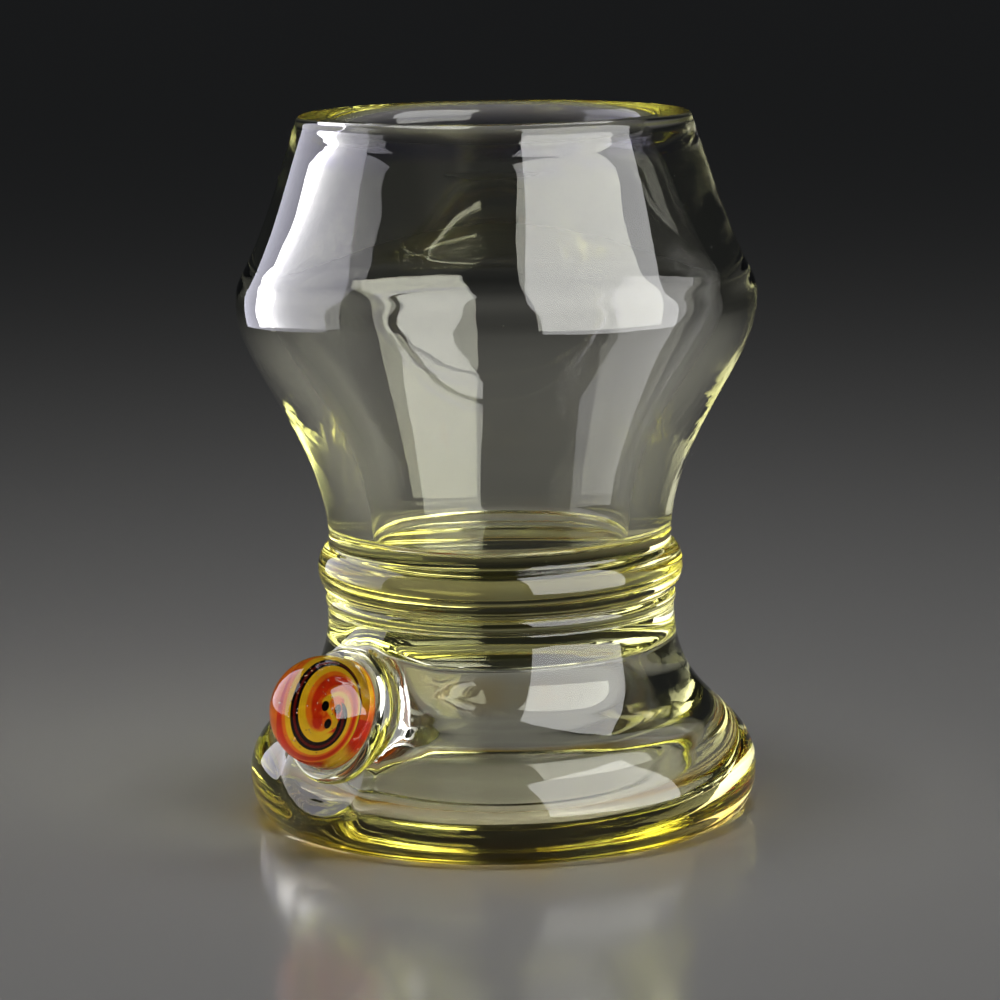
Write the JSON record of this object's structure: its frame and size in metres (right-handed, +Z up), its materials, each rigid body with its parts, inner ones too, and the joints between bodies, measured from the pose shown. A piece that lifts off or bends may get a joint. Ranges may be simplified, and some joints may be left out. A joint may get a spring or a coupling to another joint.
{
  "type": "footed drinking glass",
  "caption": "Heavy hand-made footed glass with a wide-shouldered bowl, a rolled ring at the waist, a hollow flared foot and a domed swirl button on the foot.",
  "frame": {"origin": "centre of the face the foot stands on", "axes": "+Z up through the middle of the bowl; the swirl button faces halfway between -X and -Y"},
  "size_m": [0.0886, 0.0886, 0.12],
  "materials": {
    "clear_glass": "fire-polished clear glass with a faint yellow tint",
    "gold_glass": "fire-polished clear glass, pale gold where it is thick",
    "amber_glass": "opaque amber glass",
    "yellow_glass": "opaque yellow glass",
    "orange_glass": "opaque orange glass",
    "red_glass": "opaque red glass",
    "maroon_glass": "opaque maroon glass",
    "black_glass": "opaque black glass"
  },
  "bodies": {
    "root": {"bowl": "clear_glass", "waist_ring": "gold_glass", "neck_bead": "gold_glass", "foot_bell": "clear_glass", "foot_disc": "clear_glass", "button_setting": "clear_glass", "swirl_backing": "amber_glass", "swirl_amber_ring": "amber_glass", "swirl_yellow_stripes": "yellow_glass", "swirl_orange_stripes": "orange_glass", "swirl_red_stripe": "red_glass", "swirl_maroon_stripe": "maroon_glass", "swirl_black_stripes": "black_glass", "swirl_heart": "red_glass", "swirl_dots": "black_glass", "button_dome": "clear_glass"}
  },
  "joints": []
}
